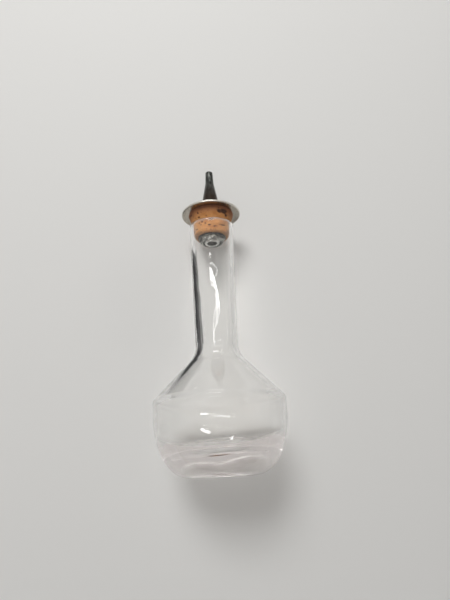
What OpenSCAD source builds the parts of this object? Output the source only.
// Bitters bottle: a blown glass bottle with a long neck, closed by a cork stopper that
// carries a metal dasher spout. It stands upright on the plane z = 0, with its axis on +Z.
// The glass and the cork are outlines turned about the axis. The metal fitting is a stack
// on one hollow stem: spout and flange above the cork, washer and nut below it.

/* [Glass body] */
// Height of the glass, from the table to the lip
bottle_h = 120; // [105:0.5:140]
// Diameter of the belly at its widest
belly_d = 60; // [54:0.5:70]
// Diameter of the flat foot that the bottle stands on
foot_d = 30; // [26:0.5:36]
// Height over which the lower side rounds out from the foot to the belly
side_h = 27; // [22:0.5:30]
// Height of the edge where the belly turns into the shoulder
shoulder_z = 32.5; // [31:0.5:38]
// Rounding of the shoulder's edge, outside
shoulder_r = 3; // [1:0.5:3.5]
// Rounding of the shoulder's edge, inside
inner_shoulder_r = 4; // [2:0.5:6]
// Height at which the shoulder's cone would meet the neck
neck_z = 53.5; // [50:0.5:60]
// Sweep of the hollow curve between shoulder and neck, outside
neck_r = 11.5; // [6:0.5:14]
// Thickness of the glass in belly and shoulder
belly_wall = 2.2; // [1.6:0.1:2.8]
// Height of the middle of the inside floor above the table, over the heavy glass base
base_t = 9.5; // [7.5:0.1:11]
// Rounding where the inside wall turns into the floor
floor_r = 10.5; // [8:0.5:15]
// Angle at which the inside floor falls from that rounding to its middle
floor_slope = 2.5; // [2:0.5:8]
// Radius of the shallow round dish in the middle of the inside floor
floor_sweep = 100; // [60:5:120]
// Diameter of the hollow under the foot
punt_d = 23; // [16:0.5:24]
// Depth of the hollow under the foot
punt_h = 3; // [0.5:0.1:3.5]

/* [Glass neck] */
// Outside diameter of the neck where it leaves the shoulder
neck_low_d = 19.6; // [18:0.1:21]
// Outside diameter of the neck at the lip
neck_top_d = 22.2; // [21.2:0.1:25]
// Thickness of the glass at the bottom of the neck
neck_low_wall = 2.5; // [2:0.1:3]
// Thickness of the glass at the mouth
mouth_wall = 1.95; // [1.5:0.05:2.5]

/* [Cork] */
// Length of cork inside the mouth
cork_in = 7; // [5:0.5:14]
// Height of cork that shows above the lip
cork_out = 6; // [4:0.5:10]
// Diameter of the cork under the flange
cork_top_d = 21.6; // [20.4:0.1:24]
// Rounding of the cork's lower edge
cork_edge_r = 1.4; // [0.5:0.1:2]
// Radial gap between the cork and the glass that it is drawn out of
cork_gap = 0.04; // [0.02:0.01:0.1]

/* [Dasher spout] */
// Height of the spout above the flange
spout_h = 25.1; // [22:0.1:34]
// Diameter at which the spout's cone would meet the flange
cone_d = 10.9; // [10.4:0.1:11.4]
// Sweep of the curve from the spout's foot into its cone
spout_foot_r = 1.2; // [0.5:0.1:2]
// Height of the thin edge of the spout's foot
spout_foot_h = 0.3; // [0.1:0.1:0.6]
// Diameter of the spout where its cone ends in the narrow nozzle
nozzle_low_d = 4.3; // [3.8:0.1:5.4]
// Diameter of the nozzle at its tip
tip_d = 3.7; // [3.2:0.1:4]
// Length of the narrow nozzle
nozzle_h = 7.1; // [6:0.1:10]
// Diameter of the dasher hole through the nozzle
orifice_d = 1.8; // [1:0.1:2.2]
// Depth of the socket in the spout that takes the stem
socket_h = 3.4; // [2:0.1:4]

/* [Flange, stem and nut] */
// Diameter of the flange that covers the cork
flange_d = 30; // [26:0.5:34]
// Thickness of the flange
flange_t = 1.1; // [0.8:0.1:1.6]
// Outside diameter of the hollow stem
stem_d = 8; // [7.4:0.1:8.4]
// Bore of the hollow stem
stem_bore_d = 5; // [4:0.1:5.6]
// Length of stem that shows below the nut
stem_end = 0.35; // [0.1:0.05:2]
// Bevel at both ends of the stem
stem_bevel = 0.4; // [0.2:0.05:0.6]
// Diameter of the washer under the cork
washer_d = 14; // [12.6:0.1:15]
// Thickness of the washer
washer_t = 0.8; // [0.5:0.1:1.5]
// Size of the nut across its flats
nut_flats = 11; // [10.4:0.1:12]
// Thickness of the nut
nut_t = 1.8; // [1.2:0.1:3]
// Angle of the nut's bevel at its corners
nut_bevel_angle = 30; // [15:1:40]
// Radial gap between the stem and what it passes through
stem_gap = 0.05; // [0.02:0.01:0.1]
// Running gap between the stem's top and the end of its socket
socket_gap = 0.2; // [0.05:0.05:0.4]

/* [Hidden] */
$fn = 96;

// steps in an arc of an outline, for the wide curves and for the small roundings
wide_steps = 16;
small_steps = 8;
// how far a cutter runs past the face that it cuts through
past = 1;

// radii of the glass
belly_r = belly_d / 2;
foot_r = foot_d / 2;
neck_low_r = neck_low_d / 2;
neck_top_r = neck_top_d / 2;
inner_belly_r = belly_r - belly_wall;
inner_neck_r = neck_low_r - neck_low_wall;
mouth_r = neck_top_r - mouth_wall;

// the shoulder's cone: rise per unit of radius, and its height at radius r, outside and inside
cone_rise = (neck_z - shoulder_z) / (belly_r - neck_low_r);
function outer_cone_z(r) = shoulder_z + cone_rise * (belly_r - r);
function inner_cone_z(r) = outer_cone_z(r) - belly_wall * sqrt(1 + cone_rise * cone_rise);

// the mouth's fully rounded lip, and the bore, which narrows from the mouth down
lip_r = mouth_wall / 2;
lip_c = [neck_top_r - lip_r, bottle_h - lip_r];
bore_low_z = inner_cone_z(inner_neck_r);
function bore_r(z) =
    inner_neck_r + (mouth_r - inner_neck_r) * (z - bore_low_z) / (lip_c.y - bore_low_z);

// heights of the stopper's stack, from the nut up to the tip of the spout
cork_low_z = bottle_h - cork_in;
cork_top_z = bottle_h + cork_out;
washer_z = cork_low_z - washer_t;
nut_z = washer_z - nut_t;
stem_low_z = nut_z - stem_end;
flange_top_z = cork_top_z + flange_t;
stem_top_z = flange_top_z + socket_h - socket_gap;
spout_top_z = flange_top_z + spout_h;
hole_r = stem_d / 2 + stem_gap;

// the cork is pressed round the lip as far as this angle, seen from the lip's centre
cork_wrap = 110;

// colours of glass, cork and steel
glass_colour = [0.86, 0.90, 0.92, 0.4];
cork_colour = [0.80, 0.59, 0.38];
steel_colour = [0.74, 0.74, 0.73];
dark_steel_colour = [0.40, 0.38, 0.37];

function unit(v) = v / norm(v);

// points on an arc about c, from angle a0 to angle a1
function arc(c, r, a0, a1, steps) =
    [for (i = [0:steps]) let (a = a0 + (a1 - a0) * i / steps) c + r * [cos(a), sin(a)]];

// points that round the corner b between the neighbours a and c
function rounded(a, b, c, r, steps) =
    let (to_a = unit(a - b))
    let (to_c = unit(c - b))
    let (half = acos(to_a * to_c) / 2)
    let (centre = b + unit(to_a + to_c) * r / sin(half))
    let (start = b + to_a * r / tan(half) - centre)
    let (end = b + to_c * r / tan(half) - centre)
    let (a0 = atan2(start.y, start.x))
    let (turn = (atan2(end.y, end.x) - a0 + 540) % 360 - 180)
    arc(centre, r, a0, a0 + turn, steps);

// the lower side: a quarter of an ellipse from the flat foot up to the belly
function lower_side() =
    [for (i = [0:wide_steps]) let (t = 90 * i / wide_steps)
        [foot_r + (belly_r - foot_r) * sin(t), side_h * (1 - cos(t))]];

// the hollow under the foot: a bow from the axis out to its edge
function punt() =
    [for (i = [0:small_steps]) let (s = i / small_steps)
        [punt_d / 2 * s, punt_h * (1 - s * s)]];

// outside of the glass, from the middle of the foot up to the lip
function glass_outside() = concat(
    punt(),
    lower_side(),
    rounded([belly_r, side_h], [belly_r, shoulder_z], [neck_low_r, neck_z],
        shoulder_r, small_steps),
    rounded([belly_r, shoulder_z], [neck_low_r, neck_z], [neck_top_r, lip_c.y],
        neck_r, wide_steps));

// inside of the glass, from the mouth down to the middle of the floor
function glass_inside() =
    let (mouth = [mouth_r, lip_c.y])
    let (neck_end = [inner_neck_r, bore_low_z])
    let (shoulder_end = [inner_belly_r, inner_cone_z(inner_belly_r)])
    let (slope_end_z = base_t - floor_sweep * (1 / cos(floor_slope) - 1))
    let (floor_corner = [inner_belly_r, slope_end_z + inner_belly_r * tan(floor_slope)])
    concat(
        rounded(mouth, neck_end, shoulder_end, neck_r + belly_wall, wide_steps),
        rounded(neck_end, shoulder_end, floor_corner, inner_shoulder_r, small_steps),
        rounded(shoulder_end, floor_corner, [0, slope_end_z], floor_r, wide_steps),
        arc([0, base_t + floor_sweep], floor_sweep, floor_slope - 90, -90, small_steps));

// the bottle: one turned wall of glass, open at the lip, with a heavy base
module bottle() {
    color(glass_colour)
        rotate_extrude()
            polygon(concat(glass_outside(), arc(lip_c, lip_r, 0, 180, wide_steps), glass_inside()));
}

// the cork: a plug that follows the narrowing bore, pressed round the lip and free above it
module cork() {
    plug_low = [bore_r(cork_low_z) - cork_gap, cork_low_z];
    plug_top = [mouth_r - cork_gap, lip_c.y];
    color(cork_colour)
        rotate_extrude()
            polygon(concat(
                [[hole_r, cork_low_z]],
                rounded([hole_r, cork_low_z], plug_low, plug_top, cork_edge_r, small_steps),
                arc(lip_c, lip_r + cork_gap, 180, cork_wrap, small_steps),
                [[cork_top_d / 2, cork_top_z], [hole_r, cork_top_z]]));
}

// the flange: a round plate with a fully rounded edge, on top of the cork
module flange() {
    edge_c = [(flange_d - flange_t) / 2, cork_top_z + flange_t / 2];
    color(steel_colour)
        rotate_extrude()
            polygon(concat(
                [[hole_r, cork_top_z]],
                arc(edge_c, flange_t / 2, -90, 90, small_steps),
                [[hole_r, flange_top_z]]));
}

// the spout: a cone on a swept foot, drawn out to a narrow nozzle with a rounded tip
module spout() {
    cone_low = [cone_d / 2, flange_top_z + spout_foot_h];
    foot_edge = cone_low + [spout_foot_r, 0];
    nozzle_low = [nozzle_low_d / 2, spout_top_z - nozzle_h];
    tip = [tip_d / 2, spout_top_z];
    orifice_r = orifice_d / 2;
    tip_r = (tip.x - orifice_r) * 0.9;
    socket_top_z = flange_top_z + socket_h;
    color(dark_steel_colour)
        rotate_extrude()
            polygon(concat(
                [[hole_r, flange_top_z], [foot_edge.x, flange_top_z], foot_edge],
                rounded(foot_edge, cone_low, nozzle_low, spout_foot_r, small_steps),
                rounded(cone_low, nozzle_low, tip, nozzle_h, small_steps),
                rounded(nozzle_low, tip, [orifice_r, spout_top_z], tip_r, small_steps),
                [[orifice_r, spout_top_z], [orifice_r, nozzle_low.y],
                    [stem_bore_d / 2, socket_top_z], [hole_r, socket_top_z]]));
}

// the stem: a hollow tube, bevelled at both ends, through flange, cork, washer and nut
module stem() {
    stem_r = stem_d / 2;
    color(steel_colour)
        difference() {
            rotate_extrude()
                polygon([
                    [0, stem_low_z],
                    [stem_r - stem_bevel, stem_low_z],
                    [stem_r, stem_low_z + stem_bevel],
                    [stem_r, stem_top_z - stem_bevel],
                    [stem_r - stem_bevel, stem_top_z],
                    [0, stem_top_z]]);
            translate([0, 0, stem_low_z - past])
                cylinder(d = stem_bore_d, h = stem_top_z - stem_low_z + 2 * past);
        }
}

// the washer: a flat ring that bears on the cork's lower face
module washer() {
    color(steel_colour)
        translate([0, 0, washer_z])
            difference() {
                cylinder(d = washer_d, h = washer_t);
                translate([0, 0, -past])
                    cylinder(r = hole_r, h = washer_t + 2 * past);
            }
}

// the nut: a thin hexagon, bevelled at its lower corners, that clamps the stack on the stem
module nut() {
    corner_r = nut_flats / 2 / cos(30);
    bevel_h = (corner_r - nut_flats / 2) * tan(nut_bevel_angle);
    color(steel_colour)
        translate([0, 0, nut_z])
            difference() {
                intersection() {
                    cylinder(r = corner_r, h = nut_t, $fn = 6);
                    rotate_extrude()
                        polygon([
                            [0, 0],
                            [nut_flats / 2, 0],
                            [corner_r, bevel_h],
                            [corner_r, nut_t],
                            [0, nut_t]]);
                }
                translate([0, 0, -past])
                    cylinder(r = hole_r, h = nut_t + 2 * past);
            }
}

bottle();
cork();
flange();
spout();
stem();
washer();
nut();
